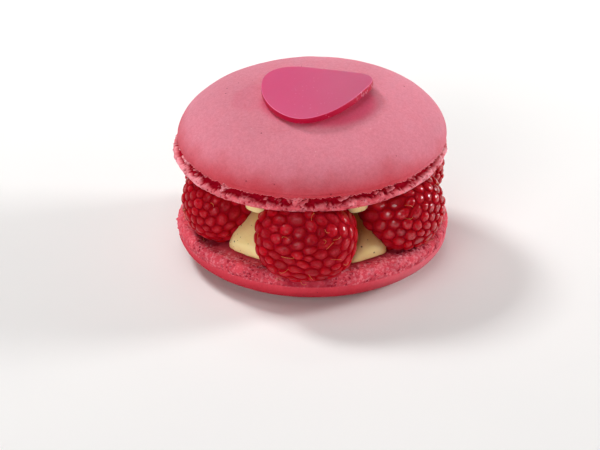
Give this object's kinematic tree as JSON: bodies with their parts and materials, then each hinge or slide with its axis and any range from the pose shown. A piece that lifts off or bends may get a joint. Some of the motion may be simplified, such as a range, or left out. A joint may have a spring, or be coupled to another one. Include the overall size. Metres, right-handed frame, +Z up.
{
  "type": "french macaron",
  "caption": "Round filled macaron: domed almond-meringue shells with ruffled feet, whole raspberries in a ring round a piped cream core, and a pink chocolate petal on top.",
  "frame": {"origin": "middle of the flat spot under the bottom shell, on the bottom shell's axis", "axes": "+Z up through both shells; the front, with the largest raspberry, faces -Y; +X is to the right seen from the front"},
  "size_m": [0.069, 0.0741, 0.0479],
  "materials": {
    "macaron_shell": "matt baked almond meringue, raspberry pink, smooth cap and torn porous foot",
    "pink_chocolate": "satin moulded chocolate with a paler rim",
    "vanilla_cream": "soft pale yellow custard cream with fine dark vanilla specks",
    "raspberry": "glossy translucent dark red beads with fine golden hairs"
  },
  "bodies": {
    "root": {"shell_bottom": "macaron_shell", "shell_top": "macaron_shell", "petal": "pink_chocolate", "cream": "vanilla_cream", "raspberry_front": "raspberry", "raspberry_left": "raspberry", "raspberry_right": "raspberry", "raspberry_side_left": "raspberry", "raspberry_side_right": "raspberry", "raspberry_back_left": "raspberry", "raspberry_back_right": "raspberry"}
  },
  "joints": []
}
